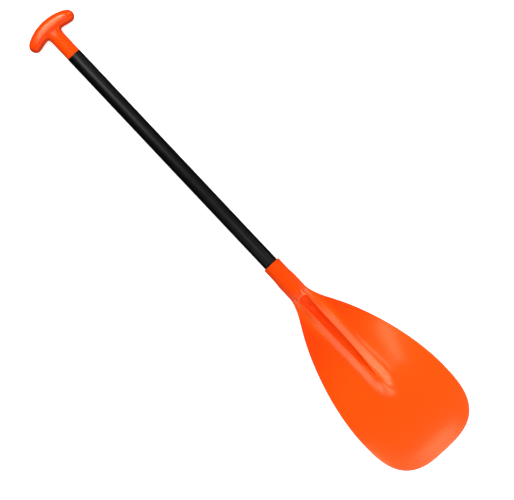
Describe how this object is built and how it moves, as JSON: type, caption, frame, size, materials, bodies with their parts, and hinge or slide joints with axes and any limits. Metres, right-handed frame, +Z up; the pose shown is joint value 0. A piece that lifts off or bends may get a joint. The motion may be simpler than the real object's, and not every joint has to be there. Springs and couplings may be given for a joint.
{
  "type": "canoe paddle",
  "caption": "Single-blade paddle with a T-grip, a black sleeved round shaft and an orange moulded blade whose raised spine has a tapering groove.",
  "frame": {"origin": "centre of the paddle's bounding box at the surface that it lies on, under the shaft's axis", "axes": "+X along the shaft from the T-grip to the blade's tip, +Y across the blade, +Z up from the surface, out of the blade's grooved face"},
  "size_m": [1.138, 0.219, 0.0364],
  "materials": {
    "orange_plastic": "satin moulded polypropylene",
    "black_sleeve": "satin shrink sleeve",
    "tube_aluminium": "drawn",
    "rivet_aluminium": "plain",
    "mandrel_steel": "plain",
    "white_foam": "closed-cell foam"
  },
  "bodies": {
    "root": {"t_grip": "orange_plastic", "blade": "orange_plastic", "shaft_sleeve": "black_sleeve", "shaft_tube": "tube_aluminium", "blade_rivet": "rivet_aluminium", "blade_rivet_mandrel": "mandrel_steel", "grip_rivet": "rivet_aluminium", "grip_rivet_mandrel": "mandrel_steel", "upper_foam_plug": "white_foam", "lower_foam_plug": "white_foam"}
  },
  "joints": []
}
